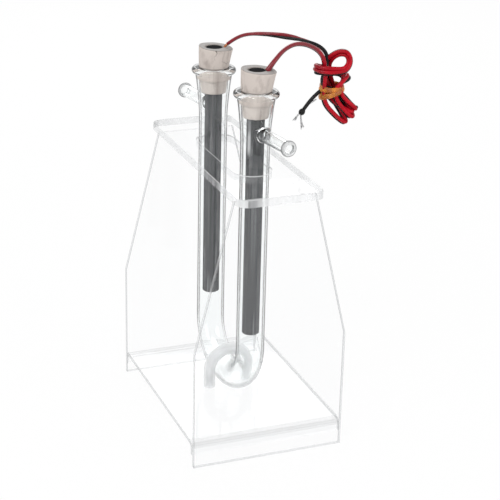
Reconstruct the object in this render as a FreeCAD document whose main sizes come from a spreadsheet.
"""School electrolysis apparatus: a glass U-tube with two side arms, two bored
rubber stoppers, two graphite rods with twin leads, and a clear acrylic stand.

The frame has its origin on the ground under the middle of the stand, +X along
the stand towards its near end panel, +Y across it and +Z up. Millimetres.
"""
import FreeCAD, Part
import math
import os
import re

import PartDesign
import Sketcher
from FreeCAD import Placement, Rotation, Vector

doc = FreeCAD.newDocument("electrolysis_apparatus")
sheet = doc.addObject("Spreadsheet::Sheet", "Sizes")
sheet.Label = "Sizes"

SIZES = {
    # Clear acrylic stand
    "stand_length": 150.0,
    "stand_width": 104.0,
    "panel_gauge": 3.0,
    "shoulder_height": 81.0,
    "panel_height": 180.5,
    "panel_top_width": 54.8,
    "base_top": 17.4,
    "base_gauge": 3.0,
    "flange_depth": 9.7,
    "base_bend_radius": 2.0,
    "plate_length": 174.0,
    "plate_width": 58.0,
    "plate_gauge": 5.0,
    "plate_corner": 8.0,
    "slot_width": 26.0,
    "slot_length": 92.0,
    "edge_break": 0.4,
    # Glass U-tube with side arms
    "limb_od": 19.0,
    "limb_wall": 1.2,
    "limb_spacing": 62.0,
    "tube_turn": 5.5,
    "tube_height": 219.2,
    "rim_od": 29.5,
    "rim_depth": 4.5,
    "neck_length": 36.0,
    "neck_wall": 1.5,
    "arm_od": 8.5,
    "arm_wall": 1.2,
    "arm_height": 192.6,
    "arm_reach": 41.5,
    "arm_splay": 3.0,
    "arm_root_od": 13.0,
    "arm_root_length": 5.5,
    # Rubber stoppers and graphite rods
    "stopper_top_od": 22.6,
    "stopper_foot_od": 16.2,
    "stopper_length": 30.5,
    "stopper_stand_out": 13.4,
    "stopper_edge": 0.6,
    "rod_od": 11.5,
    "near_rod_length": 180.0,
    "far_rod_length": 173.5,
    "rod_recess": 0.3,
    "rod_chamfer": 0.6,
    # Milky hose that straps the bend to the base, on two pegs
    "hose_od": 8.0,
    "hose_bore": 5.0,
    "hose_spread": 28.5,
    "hose_leg": 12.2,
    "peg_height": 7.0,
    "peg_dome": 1.0,
    # Leads
    "lead_width": 5.0,
    "core_od": 2.5,
    "conductor_od": 1.6,
    "conductor_depth": 10.0,
    "lead_side": 68.6,
    "lead_rise": 42.0,
    "strand_od": 1.0,
    # Hank of the two leads, and the rubber band round its waist
    "waist_width": 17.2,
    "waist_thickness": 14.0,
    "waist_low": 219.0,
    "waist_high": 228.5,
    "hank_centre_x": 8.0,
    "hank_centre_y": 64.6,
    "band_gauge": 2.0,
    "sleeve_length": 4.2,
    "sleeve_od": 4.2,
    # Clearances
    "fit_clearance": 0.1,
    "rest_clearance": 0.1,
}

# The neck swells early: at this share of its height it has this share of its widening
SWELL_HEIGHT = 0.62
SWELL_WIDTH = 0.42
THROAT_DIRECTION = Vector(0.25, 0, 1)
# The root of a side arm starts this deep in the limb and curves in along this direction
ROOT_SINK = 1.0
ROOT_DIRECTION = Vector(-1, 0, 0.8)
# A cutting tool runs this far past the face that it comes out of
CUT_MARGIN = "1"
# Two measures closer than this are the same
SAME = 1e-6

for row, (alias, value) in enumerate(SIZES.items(), start=1):
    sheet.set(f"A{row}", alias)
    sheet.set(f"B{row}", str(value))
    sheet.setAlias(f"B{row}", alias)
doc.recompute()


def size(alias):
    """Return the value of one cell of the sheet."""
    return float(getattr(sheet, alias))


def bind(thing, prop, expression):
    """Bind a property to the sheet; names of cells are written as they are."""
    thing.setExpression(prop, with_sheet(expression))


def with_sheet(expression):
    """Write the sheet's name before each cell name in an expression."""
    return re.sub(r"[a-z_]+", lambda word: f"Sizes.{word[0]}" if word[0] in SIZES else word[0], expression)


def number(expression):
    """Work out an expression from the sheet's values, in degrees for angles."""
    probe = sheet.evalExpression(with_sheet(expression))
    return float(probe.Value) if hasattr(probe, "Value") else float(probe)


def new_body(label):
    """Return a new PartDesign body that carries the sub-part's name."""
    body = doc.addObject("PartDesign::Body", label)
    body.Label = label
    return body


def origin_plane(body, role):
    """Return the body's own origin plane with this role."""
    return next(item for item in body.Origin.OriginFeatures if item.Role == role)


def new_sketch(body, name, role):
    """Return a sketch on one of the body's origin planes."""
    sketch = body.newObject("Sketcher::SketchObject", name)
    sketch.AttachmentSupport = (origin_plane(body, role), [""])
    sketch.MapMode = "FlatFace"
    return sketch


def pin_point(sketch, edge, end, across, along):
    """Tie the end of a sketch line to two expressions counted from the origin."""
    for kind, axis, expression in (("DistanceX", -2, across), ("DistanceY", -1, along)):
        value = number(expression)
        if abs(value) < SAME:
            sketch.addConstraint(Sketcher.Constraint("PointOnObject", edge, end, axis))
            continue
        index = sketch.addConstraint(Sketcher.Constraint(kind, -1, 1, edge, end, value))
        bind(sketch, f"Constraints[{index}]", expression)


def outline(sketch, corners):
    """Draw a closed outline; each corner is a pair of expressions."""
    places = [Vector(number(across), number(along), 0) for across, along in corners]
    count = len(places)
    for index in range(count):
        sketch.addGeometry(Part.LineSegment(places[index], places[(index + 1) % count]))
    for index in range(count):
        sketch.addConstraint(Sketcher.Constraint("Coincident", index, 2, (index + 1) % count, 1))
        pin_point(sketch, index, 1, *corners[index])


def ring(sketch, diameter, across="0", along="0"):
    """Draw a circle of a bound diameter at a bound centre."""
    centre = Vector(number(across), number(along), 0)
    index = sketch.addGeometry(Part.Circle(centre, Vector(0, 0, 1), number(diameter) / 2))
    datum = sketch.addConstraint(Sketcher.Constraint("Diameter", index, number(diameter)))
    bind(sketch, f"Constraints[{datum}]", diameter)
    pin_point(sketch, index, 3, across, along)


def pad(body, sketch, length, midplane=False):
    """Pad a sketch by a bound length."""
    feature = body.newObject("PartDesign::Pad", f"{sketch.Name}_pad")
    feature.Profile = sketch
    feature.Midplane = midplane
    bind(feature, "Length", length)
    return feature


def revolve(body, sketch):
    """Turn a sketch once round its vertical axis."""
    feature = body.newObject("PartDesign::Revolution", f"{sketch.Name}_turn")
    feature.Profile = sketch
    feature.ReferenceAxis = (sketch, ["V_Axis"])
    feature.Angle = 360.0
    return feature


def edges_where(feature, test):
    """Name the edges of a feature whose middle point passes the test."""
    names = []
    for index, edge in enumerate(feature.Shape.Edges, start=1):
        middle = edge.valueAt((edge.FirstParameter + edge.LastParameter) / 2)
        if test(edge, middle):
            names.append(f"Edge{index}")
    return names


def soften(body, feature, kind, prop, expression, test):
    """Fillet or chamfer the edges that pass the test by a bound size."""
    doc.recompute()
    edge_work = body.newObject(f"PartDesign::{kind}", f"{body.Name}_{kind.lower()}")
    edge_work.Base = (feature, edges_where(feature, test))
    bind(edge_work, prop, expression)
    return edge_work


def shift(thing, across, along, up):
    """Bind the place of a body or a Part object."""
    for axis, expression in zip("xyz", (across, along, up)):
        if expression != "0":
            bind(thing, f"Placement.Base.{axis}", expression)


def near_or_far(end):
    """Return the sign of an end of the stand: near is +X."""
    return {"near": "1", "far": "-1"}[end]


def make_end_panel(end):
    """Six-sided sheet that stands on the ground and carries the top plate."""
    body = new_body(f"end_panel_{end}")
    sketch = new_sketch(body, f"panel_{end}_outline", "YZ_Plane")
    half, top = "stand_width / 2", "panel_top_width / 2"
    outline(sketch, [
        (f"0 - {half}", "0"), (half, "0"), (half, "shoulder_height"), (top, "panel_height"),
        (f"0 - {top}", "panel_height"), (f"0 - {half}", "shoulder_height"),
    ])
    sheet_pad = pad(body, sketch, "panel_gauge", midplane=True)
    upright_ends = number("panel_gauge / 2")
    soften(body, sheet_pad, "Chamfer", "Size", "edge_break",
           lambda edge, middle: abs(abs(middle.x) - upright_ends) < SAME
           and SAME < middle.z < size("panel_height") - SAME)
    shift(body, f"{near_or_far(end)} * (stand_length - panel_gauge) / 2", "0", "0")
    return body


def make_base_sheet():
    """Floor of the stand, its two ends folded down and glued to the panels."""
    body = new_body("base_sheet")
    sketch = new_sketch(body, "base_section", "XZ_Plane")
    span = "stand_length / 2 - panel_gauge"
    low = "base_top - flange_depth"
    outline(sketch, [
        (f"0 - ({span})", low), (f"0 - ({span})", "base_top"), (span, "base_top"), (span, low),
        (f"{span} - base_gauge", low), (f"{span} - base_gauge", "base_top - base_gauge"),
        (f"base_gauge - ({span})", "base_top - base_gauge"), (f"base_gauge - ({span})", low),
    ])
    floor_pad = pad(body, sketch, "stand_width", midplane=True)
    outer, inner = number(span), number(f"{span} - base_gauge")
    top, under = size("base_top"), number("base_top - base_gauge")

    def fold_outside(edge, middle):
        return abs(abs(middle.x) - outer) < SAME and abs(middle.z - top) < SAME and abs(middle.y) < SAME

    def fold_inside(edge, middle):
        return abs(abs(middle.x) - inner) < SAME and abs(middle.z - under) < SAME and abs(middle.y) < SAME

    outside = soften(body, floor_pad, "Fillet", "Radius", "base_bend_radius + base_gauge", fold_outside)
    doc.recompute()
    inside = body.newObject("PartDesign::Fillet", "base_sheet_inner_fold")
    inside.Base = (outside, edges_where(outside, fold_inside))
    bind(inside, "Radius", "base_bend_radius")
    return body


def make_top_plate():
    """Thick plate with rounded corners and the long slot that holds the limbs."""
    body = new_body("top_plate")
    sketch = new_sketch(body, "plate_outline", "XY_Plane")
    half_length, half_width = "plate_length / 2", "plate_width / 2"
    outline(sketch, [
        (f"0 - {half_length}", f"0 - {half_width}"), (half_length, f"0 - {half_width}"),
        (half_length, half_width), (f"0 - {half_length}", half_width),
    ])
    plate = pad(body, sketch, "plate_gauge")
    rounded = soften(body, plate, "Fillet", "Radius", "plate_corner",
                     lambda edge, middle: abs(middle.z - size("plate_gauge") / 2) < SAME)
    slot = new_sketch(body, "slot_outline", "XY_Plane")
    reach, half_slot = number("(slot_length - slot_width) / 2"), number("slot_width / 2")
    quarter = math.pi / 2
    right = Part.Circle(Vector(reach, 0, 0), Vector(0, 0, 1), half_slot)
    left = Part.Circle(Vector(-reach, 0, 0), Vector(0, 0, 1), half_slot)
    slot.addGeometry(Part.ArcOfCircle(right, -quarter, quarter))
    slot.addGeometry(Part.LineSegment(Vector(reach, half_slot, 0), Vector(-reach, half_slot, 0)))
    slot.addGeometry(Part.ArcOfCircle(left, quarter, 3 * quarter))
    slot.addGeometry(Part.LineSegment(Vector(-reach, -half_slot, 0), Vector(reach, -half_slot, 0)))
    for first, first_end, second, second_end in ((0, 2, 1, 1), (1, 2, 2, 1), (2, 2, 3, 1), (3, 2, 0, 1)):
        slot.addConstraint(Sketcher.Constraint("Tangent", first, first_end, second, second_end))
    slot.addConstraint(Sketcher.Constraint("PointOnObject", 0, 3, -1))
    slot.addConstraint(Sketcher.Constraint("PointOnObject", 2, 3, -1))
    for index, expression in ((0, "(slot_length - slot_width) / 2"), (2, "(slot_width - slot_length) / 2")):
        datum = slot.addConstraint(Sketcher.Constraint("DistanceX", -1, 1, index, 3, number(expression)))
        bind(slot, f"Constraints[{datum}]", expression)
    datum = slot.addConstraint(Sketcher.Constraint("Radius", 0, half_slot))
    bind(slot, f"Constraints[{datum}]", "slot_width / 2")
    doc.recompute()
    cut = body.newObject("PartDesign::Pocket", "plate_slot")
    cut.Profile = slot
    cut.Reversed = True
    bind(cut, "Length", "plate_gauge")
    doc.recompute()
    soften(body, cut, "Chamfer", "Size", "edge_break",
           lambda edge, middle: abs(middle.z - size("plate_gauge")) < SAME)
    shift(body, "0", "0", "panel_height")
    return body


def make_cylinder(name, diameter, height, across="0", along="0", up="0"):
    """Return a Part cylinder with bound size and place."""
    part = doc.addObject("Part::Cylinder", name)
    bind(part, "Radius", f"({diameter}) / 2")
    bind(part, "Height", height)
    shift(part, across, along, up)
    return part


def make_half_torus(name, sweep_diameter, diameter, rotation, up):
    """Return half a Part torus, stood on edge by the rotation."""
    part = doc.addObject("Part::Torus", name)
    bind(part, "Radius1", f"({sweep_diameter}) / 2")
    bind(part, "Radius2", f"({diameter}) / 2")
    part.Angle3 = 180.0
    part.Placement = Placement(Vector(0, 0, 0), rotation)
    shift(part, "0", "0", up)
    return part


def fused(name, members):
    """Fuse Part objects into one."""
    part = doc.addObject("Part::MultiFuse", name)
    part.Shapes = members
    part.Refine = True
    return part


def turned_feature(name, face, place):
    """Turn a flat face of the XZ plane round Z and put it in its place."""
    part = doc.addObject("Part::Feature", name)
    part.Shape = face.revolve(Vector(0, 0, 0), Vector(0, 0, 1), 360.0)
    part.Placement = place
    return part


def closed_face(edges):
    """Close a chain of edges into a face."""
    return Part.Face(Part.Wire(Part.__sortEdges__(edges)))


def smooth_edge(places, start=None, finish=None):
    """Return one smooth edge through some places, with end directions if given."""
    curve = Part.BSplineCurve()
    if start is None:
        curve.interpolate(places)
    else:
        curve.interpolate(Points=places, InitialTangent=start, FinalTangent=finish)
    return curve.toShape()


def stopper_radius(height_over_foot):
    """Radius of the stopper's taper at a height over its lower face."""
    foot, top = size("stopper_foot_od") / 2, size("stopper_top_od") / 2
    return foot + (top - foot) * height_over_foot / size("stopper_length")


def neck_outer_face():
    """Half section of the neck's outside: the flare and the rolled rim."""
    top, low = size("tube_height"), size("tube_height") - size("neck_length")
    limb, rim, roll = size("limb_od") / 2, size("rim_od") / 2, size("rim_depth") / 2
    neck = rim - roll
    upright = Vector(0, 0, 1)
    start, throat = Vector(limb, 0, low), Vector(neck, 0, top - 2 * roll)
    middle = Vector(limb + SWELL_WIDTH * (neck - limb), 0, low + SWELL_HEIGHT * (throat.z - low))
    roll_top, roll_side = Vector(neck, 0, top), Vector(rim, 0, top - roll)
    floor_centre, roof_centre = Vector(0, 0, low), Vector(0, 0, top)
    return closed_face([
        Part.LineSegment(floor_centre, start).toShape(),
        smooth_edge([start, middle, throat], upright, THROAT_DIRECTION),
        Part.Arc(throat, roll_side, roll_top).toShape(),
        Part.LineSegment(roll_top, roof_centre).toShape(),
        Part.LineSegment(roof_centre, floor_centre).toShape(),
    ])


def neck_bore_face():
    """Half section of the neck's bore: the stopper's seat, then the taper to the limb."""
    top, low = size("tube_height"), size("tube_height") - size("neck_length")
    limb, neck = size("limb_od") / 2, (size("rim_od") - size("rim_depth")) / 2
    bore = limb - size("limb_wall")
    foot_height = size("stopper_length") - size("stopper_stand_out")
    mouth = stopper_radius(foot_height) + size("fit_clearance")
    seat = stopper_radius(foot_height - size("rim_depth")) + size("fit_clearance")
    seat_low = top - size("rim_depth")
    swell_height = low + SWELL_HEIGHT * (seat_low - low)
    swell = limb + SWELL_WIDTH * (neck - limb) - size("neck_wall")
    floor_centre, roof_centre = Vector(0, 0, low), Vector(0, 0, top)
    mouth_edge, seat_edge = Vector(mouth, 0, top), Vector(seat, 0, seat_low)
    start = Vector(bore, 0, low)
    return closed_face([
        Part.LineSegment(floor_centre, start).toShape(),
        smooth_edge([start, Vector(swell, 0, swell_height), seat_edge], Vector(0, 0, 1), Vector(0, 0, 1)),
        Part.LineSegment(seat_edge, mouth_edge).toShape(),
        Part.LineSegment(mouth_edge, roof_centre).toShape(),
        Part.LineSegment(roof_centre, floor_centre).toShape(),
    ])


def arm_outer_face():
    """Half section of a side arm's outside, from the limb's axis to its polished end."""
    limb, arm, root = size("limb_od") / 2, size("arm_od") / 2, size("arm_root_od") / 2
    reach, polish = size("arm_reach"), size("arm_wall") / 3
    blend_start, blend_end = limb - ROOT_SINK, limb + size("arm_root_length")
    inside, outside = Vector(0, 0, 0), Vector(0, 0, reach)
    root_low, root_edge = Vector(root, 0, 0), Vector(root, 0, blend_start)
    arm_edge = Vector(arm, 0, blend_end)
    shoulder, lip = Vector(arm, 0, reach - polish), Vector(arm - polish, 0, reach)
    return closed_face([
        Part.LineSegment(inside, root_low).toShape(),
        Part.LineSegment(root_low, root_edge).toShape(),
        smooth_edge([root_edge, arm_edge], ROOT_DIRECTION, Vector(0, 0, 1)),
        Part.LineSegment(arm_edge, shoulder).toShape(),
        Part.LineSegment(shoulder, lip).toShape(),
        Part.LineSegment(lip, outside).toShape(),
        Part.LineSegment(outside, inside).toShape(),
    ])


def limb_places():
    """Return the place and sign of each limb in the tube's own plane."""
    half = size("limb_spacing") / 2
    return (("near", 1, Vector(half, 0, 0)), ("far", -1, Vector(-half, 0, 0)))


def arm_placement(sign, foot):
    """Place a side arm: its axis lies level and points away from the other limb."""
    level = Rotation(Vector(0, 0, 1), size("arm_splay")) * Rotation(Vector(0, 1, 0), 90.0 * sign)
    return Placement(Vector(foot.x, foot.y, size("arm_height")), level)


def make_u_tube():
    """Blown glass U-tube: limbs, bend, flared necks with rolled rims and side arms."""
    on_edge = Rotation(Vector(1, 0, 0), -90.0)
    bend_height = "(limb_spacing + limb_od) / 2"
    limb_height = f"tube_height - neck_length - {bend_height}"
    bore = "limb_od - 2 * limb_wall"
    skin = [make_half_torus("bend_skin", "limb_spacing", "limb_od", on_edge, bend_height)]
    hollow = [make_half_torus("bend_bore", "limb_spacing", bore, on_edge, bend_height)]
    for name, sign, foot in limb_places():
        across = f"{sign} * limb_spacing / 2"
        skin.append(make_cylinder(f"limb_skin_{name}", "limb_od", limb_height, across, "0", bend_height))
        hollow.append(make_cylinder(f"limb_bore_{name}", bore, limb_height, across, "0", bend_height))
        skin.append(turned_feature(f"neck_skin_{name}", neck_outer_face(), Placement(foot, Rotation())))
        hollow.append(turned_feature(f"neck_bore_{name}", neck_bore_face(), Placement(foot, Rotation())))
        skin.append(turned_feature(f"arm_skin_{name}", arm_outer_face(), arm_placement(sign, foot)))
        arm_bore = make_cylinder(f"arm_bore_{name}", "arm_od - 2 * arm_wall", f"arm_reach + {CUT_MARGIN}")
        arm_bore.Placement = arm_placement(sign, foot)
        hollow.append(arm_bore)
    tube = doc.addObject("Part::Cut", "u_tube")
    tube.Base = fused("tube_skin", skin)
    tube.Tool = fused("tube_hollow", hollow)
    tube.Placement = Placement(Vector(0, 0, 0), Rotation(Vector(0, 0, 1), size("tube_turn")))
    bind(tube, "Placement.Rotation.Angle", "tube_turn")
    shift(tube, "0", "0", "base_top + rest_clearance")
    return tube


def over_limb(thing, end, up):
    """Put a body on the axis of a limb."""
    sign = near_or_far(end)
    shift(thing, f"{sign} * limb_spacing / 2 * cos(tube_turn)", f"{sign} * limb_spacing / 2 * sin(tube_turn)", up)


STOPPER_FOOT = "base_top + rest_clearance + tube_height + stopper_stand_out - stopper_length"


def make_stopper(end):
    """Bored rubber stopper with a groove beside the bore where the lead goes in."""
    body = new_body(f"stopper_{end}")
    sketch = new_sketch(body, f"stopper_{end}_section", "XZ_Plane")
    bore = "rod_od / 2 + fit_clearance"
    outline(sketch, [
        (bore, "0"), ("stopper_foot_od / 2", "0"), ("stopper_top_od / 2", "stopper_length"),
        (bore, "stopper_length"),
    ])
    turned = revolve(body, sketch)
    rounded = soften(body, turned, "Fillet", "Radius", "stopper_edge",
                     lambda edge, middle: edge.Curve.TypeId == "Part::GeomCircle"
                     and edge.Curve.Radius > size("rod_od") / 2 + size("fit_clearance") + SAME)
    groove = body.newObject("PartDesign::SubtractiveCylinder", f"stopper_{end}_groove")
    groove.AttachmentSupport = (origin_plane(body, "XY_Plane"), [""])
    groove.MapMode = "FlatFace"
    bind(groove, "Radius", "conductor_od / 2 + fit_clearance")
    bind(groove, "Height", f"conductor_depth + {CUT_MARGIN}")
    offset = "(rod_od + conductor_od) / 2 + fit_clearance"
    bind(groove, "AttachmentOffset.Base.x", f"({offset}) * cos(lead_side)")
    bind(groove, "AttachmentOffset.Base.y", f"({offset}) * sin(lead_side)")
    bind(groove, "AttachmentOffset.Base.z", "stopper_length - conductor_depth")
    over_limb(body, end, STOPPER_FOOT)
    return body


def make_electrode(end):
    """Graphite rod held in the stopper's bore, its top just under the stopper's."""
    body = new_body(f"electrode_{end}")
    sketch = new_sketch(body, f"electrode_{end}_section", "XY_Plane")
    ring(sketch, "rod_od")
    length = f"{end}_rod_length"
    rod = pad(body, sketch, length)
    soften(body, rod, "Chamfer", "Size", "rod_chamfer",
           lambda edge, middle: edge.Curve.TypeId == "Part::GeomCircle")
    over_limb(body, end, f"{STOPPER_FOOT} + stopper_length - rod_recess - {length}")
    return body


def make_hose_strap():
    """Milky hose bent over the foot of the U-tube, its ends pushed on two pegs."""
    on_edge = Rotation(Vector(0, 0, 1), 90.0) * Rotation(Vector(1, 0, 0), 90.0)
    skin = [make_half_torus("strap_skin_arch", "hose_spread", "hose_od", on_edge, "hose_leg")]
    hollow = [make_half_torus("strap_bore_arch", "hose_spread", "hose_bore", on_edge, "hose_leg")]
    for side, sign in (("left", -1), ("right", 1)):
        along = f"{sign} * hose_spread / 2"
        skin.append(make_cylinder(f"strap_skin_{side}", "hose_od", "hose_leg", "0", along))
        hollow.append(make_cylinder(f"strap_bore_{side}", "hose_bore", "hose_leg", "0", along))
    strap = doc.addObject("Part::Cut", "hose_strap")
    strap.Base = fused("strap_skin", skin)
    strap.Tool = fused("strap_hollow", hollow)
    shift(strap, "0", "0", "base_top")
    return strap


def make_peg(side, sign):
    """Clear peg glued to the base inside an end of the hose."""
    body = new_body(f"hose_peg_{side}")
    sketch = new_sketch(body, f"peg_{side}_section", "XY_Plane")
    ring(sketch, "hose_bore - fit_clearance")
    post = pad(body, sketch, "peg_height")
    soften(body, post, "Fillet", "Radius", "peg_dome",
           lambda edge, middle: edge.Curve.TypeId == "Part::GeomCircle" and middle.z > SAME)
    shift(body, "0", f"{sign} * hose_spread / 2", "base_top")
    return body


def limb_axis(end):
    """Return the point where a limb's axis meets the ground."""
    turn, half = math.radians(size("tube_turn")), size("limb_spacing") / 2
    sign = 1 if end == "near" else -1
    return Vector(sign * half * math.cos(turn), sign * half * math.sin(turn), 0)


def stopper_top():
    """Return the height of the stoppers' upper faces."""
    return number(f"{STOPPER_FOOT} + stopper_length")


def lead_direction():
    """Return the level direction in which both leads leave their stoppers."""
    side = math.radians(size("lead_side"))
    return Vector(math.cos(side), math.sin(side), 0)


def rounded_route(points, share=0.45):
    """Join points by straight runs and tangent arcs as large as the runs allow."""
    edges, radii, here = [], [], points[0]
    for before, corner, after in zip(points, points[1:], points[2:]):
        run_in, run_out = corner - before, after - corner
        cut = share * min(run_in.Length, run_out.Length)
        half_turn = run_in.getAngle(run_out) / 2
        into, away = Vector(run_in).normalize(), Vector(run_out).normalize()
        first, last = corner - into * cut, corner + away * cut
        radius = cut / math.tan(half_turn)
        inward = (away - into).normalize()
        centre = corner + inward * (radius / math.cos(half_turn))
        middle = centre - inward * radius
        edges.append(Part.LineSegment(here, first).toShape())
        edges.append(Part.Arc(first, middle, last).toShape())
        radii.append(radius)
        here = last
    edges.append(Part.LineSegment(here, points[-1]).toShape())
    return Part.Wire(edges), radii


def swept_rod(path, diameter):
    """Sweep a round section along a wire."""
    start = path.Edges[0]
    tangent = start.tangentAt(start.FirstParameter)
    circle = Part.Circle(start.valueAt(start.FirstParameter), tangent, diameter / 2)
    return path.makePipeShell([Part.Wire([circle.toShape()])], True, False)


def make_route(label, points, diameter):
    """Make a cord's plain tube, print its arcs and compare its volume with its length."""
    path, radii = rounded_route(points)
    solid = swept_rod(path, diameter)
    expected = math.pi * diameter ** 2 / 4 * path.Length
    print(f"{label}: length {path.Length:.1f}, arcs {[round(radius, 1) for radius in radii]}, "
          f"volume over section times length {solid.Volume / expected:.4f}")
    return solid


def plain_feature(label, shape, place=Placement()):
    """Keep a shape that no sketch or primitive fits as a document object."""
    part = doc.addObject("Part::Feature", label)
    part.Label = label
    part.Shape = shape
    part.Placement = place
    return part


def lead_start(end):
    """Return where a lead's covering begins: just outside the rod, over the stopper."""
    rise = math.radians(size("lead_rise"))
    foot = conductor_foot(end)
    lift = size("lead_width") / 2 * math.cos(rise) + size("rest_clearance")
    outward = lift / math.tan(rise)
    return foot + lead_direction() * outward + Vector(0, 0, stopper_top() + lift)


def conductor_foot(end):
    """Return the axis of the groove beside a rod, at ground level."""
    offset = (size("rod_od") + size("conductor_od")) / 2 + size("fit_clearance")
    return limb_axis(end) + lead_direction() * offset


def make_conductor(end, lead):
    """Bare copper end of a lead, wedged between the rod and the stopper."""
    foot, top = conductor_foot(end), stopper_top()
    low = foot + Vector(0, 0, top - size("conductor_depth"))
    corner = foot + Vector(0, 0, top)
    path, _ = rounded_route([low, corner, lead_start(end)])
    return plain_feature(f"conductor_{end}", swept_rod(path, size("conductor_od")).cut(lead.Shape))


FAR_ROUTE = [
    (-25.0, 10.0, 257.5), (-19.8, 17.0, 261.4), (-10.6, 28.7, 262.5), (-1.8, 41.3, 261.5),
    (3.6, 51.0, 259.0), (5.6, 57.6, 255.5), (6.2, 61.6, 250.2), (6.8, 61.9, 244.2), (7.6, 60.7, 238.7),
]
NEAR_ROUTE = [
    (32.8, 13.7, 256.4), (29.4, 20.3, 262.2), (25.0, 29.5, 264.9), (20.5, 39.7, 262.8),
    (16.6, 48.8, 258.0), (13.8, 54.8, 251.9), (11.6, 57.8, 244.9), (9.2, 59.3, 237.9),
]
TAIL_ROUTE = [
    (6.6, 71.5, 231.4), (7.2, 66.0, 230.2), (8.0, 60.0, 227.6), (8.0, 54.4, 223.6), (8.0, 49.6, 219.0),
    (8.0, 45.8, 214.0),
]
SPARE_ROUTE = [(8.0, 58.0, 221.6), (8.4, 52.6, 219.4), (8.4, 47.6, 216.4), (8.0, 45.6, 213.0)]
STRAND_ENDS = [(8.6, 40.6, 206.6), (7.6, 43.4, 202.2), (8.2, 47.2, 201.2)]
STRAND_BOW = Vector(0, -0.8, 0.4)
# The strands start at this share of the sleeve's length; its mouth is this share of the core
STRAND_DEPTH = 0.75
SLEEVE_MOUTH = 0.8

UPPER_HANK = [(0.0, 0.0, 1.0, 1.0), (4.0, 0.4, 1.16, 1.06), (9.5, 1.0, 1.5, 1.16),
              (14.5, 1.6, 1.46, 1.1), (19.5, 6.4, 1.04, 0.86), (24.5, 9.2, 0.5, 0.5)]
LOWER_HANK = [(0.0, 0.0, 1.0, 1.0), (-5.0, 3.4, 1.12, 1.02), (-11.0, 7.4, 0.98, 0.9),
              (-16.0, 10.4, 0.56, 0.6)]


def hank_section(height, along, wide, thick):
    """Return an ellipse across the hank, scaled from its waist."""
    major, minor = size("waist_width") / 2 * wide, size("waist_thickness") / 2 * thick
    if major >= minor:
        ellipse = Part.Ellipse(Vector(0, 0, 0), major, minor).toShape()
    else:
        ellipse = Part.Ellipse(Vector(0, 0, 0), minor, major).toShape()
        ellipse.rotate(Vector(0, 0, 0), Vector(0, 0, 1), 90.0)
    wire = Part.Wire([ellipse])
    centre = Vector(size("hank_centre_x"), size("hank_centre_y"), height) + lead_direction() * along
    wire.Placement = Placement(centre, Rotation(Vector(0, 0, 1), size("lead_side")))
    return wire


def hank_loft(foot, sections):
    """Loft the hank's outside through its sections, counted from one end of the waist."""
    wires = [hank_section(foot + height, *rest) for height, *rest in sections]
    return Part.makeLoft(wires, True, False)


def make_hank():
    """Closed solid of the hank's outside: loops above the band, folded ends below."""
    low, high = size("waist_low"), size("waist_high")
    waist = Part.makeLoft([hank_section(low, 0, 1, 1), hank_section(high, 0, 1, 1)], True, True)
    solid = waist.fuse([hank_loft(high, UPPER_HANK), hank_loft(low, LOWER_HANK)]).removeSplitter()
    return plain_feature("lead_hank", solid.Solids[0] if solid.Solids else solid)


def make_band():
    """Rubber band wound round the waist of the hank."""
    low, high = size("waist_low"), size("waist_high")
    gauge = size("band_gauge")
    wide = 1 + 2 * gauge / size("waist_width")
    thick = 1 + 2 * gauge / size("waist_thickness")
    margin = gauge / 4
    outer = Part.makeLoft([hank_section(low + margin, 0, wide, thick),
                           hank_section(high - margin, 0, wide, thick)], True, True)
    inner = Part.makeLoft([hank_section(low, 0, 1, 1), hank_section(high, 0, 1, 1)], True, True)
    return plain_feature("hank_band", outer.cut(inner))


def vectors(points):
    """Turn a route's numbers into vectors."""
    return [Vector(*point) for point in points]


def make_lead(end, route, hank):
    """Twin lead from its stopper to the hank, as a plain tube of its width."""
    points = [lead_start(end)] + vectors(route)
    solid = make_route(f"lead_{end}", points, size("lead_width"))
    return plain_feature(f"lead_{end}", solid.cut(hank.Shape))


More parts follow.
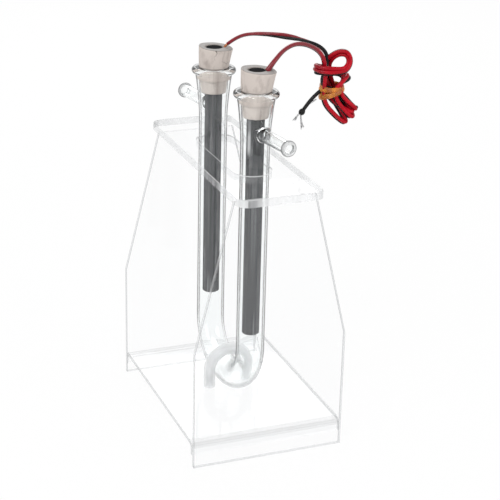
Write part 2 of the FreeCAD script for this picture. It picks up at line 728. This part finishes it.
def make_tail(hank, band):
    """Short free end of one black core, with its sleeve and bare strands."""
    points = vectors(TAIL_ROUTE)
    tail = make_route("lead_tail", points, size("core_od")).cut(hank.Shape).cut(band.Shape)
    finish = points[-1]
    onward = (points[-1] - points[-2]).normalize()
    length, core = size("sleeve_length"), size("core_od") / 2
    root, belly = Vector(core, 0, 0), Vector(size("sleeve_od") / 2, 0, length / 2)
    mouth = Vector(SLEEVE_MOUTH * core, 0, length)
    sleeve_face = closed_face([
        Part.LineSegment(Vector(0, 0, 0), root).toShape(),
        smooth_edge([root, belly, mouth]),
        Part.LineSegment(mouth, Vector(0, 0, length)).toShape(),
        Part.LineSegment(Vector(0, 0, length), Vector(0, 0, 0)).toShape(),
    ])
    plain_sleeve = sleeve_face.revolve(Vector(0, 0, 0), Vector(0, 0, 1), 360.0)
    place = Placement(finish, Rotation(Vector(0, 0, 1), onward))
    sleeve = plain_feature("tail_sleeve", plain_sleeve, place).Shape
    strand_root = finish + onward * (STRAND_DEPTH * length)
    strands = []
    for end_place in vectors(STRAND_ENDS):
        bulge = (strand_root + end_place) * 0.5 + STRAND_BOW
        path, _ = rounded_route([strand_root, bulge, end_place])
        strands.append(swept_rod(path, size("strand_od")))
    tuft = strands[0].fuse(strands[1:]).cut(sleeve)
    spare = make_route("spare_strand", vectors(SPARE_ROUTE), size("strand_od"))
    for neighbour in (hank.Shape, band.Shape, tail, sleeve, tuft):
        spare = spare.cut(neighbour)
    plain_feature("lead_tail", tail)
    plain_feature("bare_strands", tuft)
    plain_feature("spare_strand", spare)


def make_all():
    """Build every sub-part."""
    for end in ("near", "far"):
        make_end_panel(end)
    make_base_sheet()
    make_top_plate()
    make_u_tube()
    for end in ("near", "far"):
        make_stopper(end)
        make_electrode(end)
    make_hose_strap()
    for side, sign in (("left", -1), ("right", 1)):
        make_peg(side, sign)
    hank = make_hank()
    band = make_band()
    for end, route in (("far", FAR_ROUTE), ("near", NEAR_ROUTE)):
        make_conductor(end, make_lead(end, route, hank))
    make_tail(hank, band)


NODES = [
    "end_panel_near", "end_panel_far", "base_sheet", "top_plate", "u_tube",
    "stopper_near", "stopper_far", "electrode_near", "electrode_far",
    "conductor_near", "conductor_far", "hose_strap", "hose_peg_left", "hose_peg_right",
    "lead_near", "lead_far", "lead_hank", "hank_band", "lead_tail", "tail_sleeve",
    "bare_strands", "spare_strand",
]

make_all()
doc.recompute()

for item in doc.Objects:
    if "Invalid" in item.State or "Error" in item.State:
        raise RuntimeError(f"{item.Label} failed: {item.State}")
for label in NODES:
    found = doc.getObjectsByLabel(label)[0].Shape
    if found.isNull() or not found.isValid() or not found.Solids:
        raise RuntimeError(f"{label} has no valid solid")

os.makedirs("parts", exist_ok=True)
for label in NODES:
    finished = doc.getObjectsByLabel(label)[0].Shape
    finished.exportStep(os.path.join("parts", f"{label}.step"))
    print(f"{label}: {len(finished.Solids)} solid, volume {finished.Volume:.1f}")
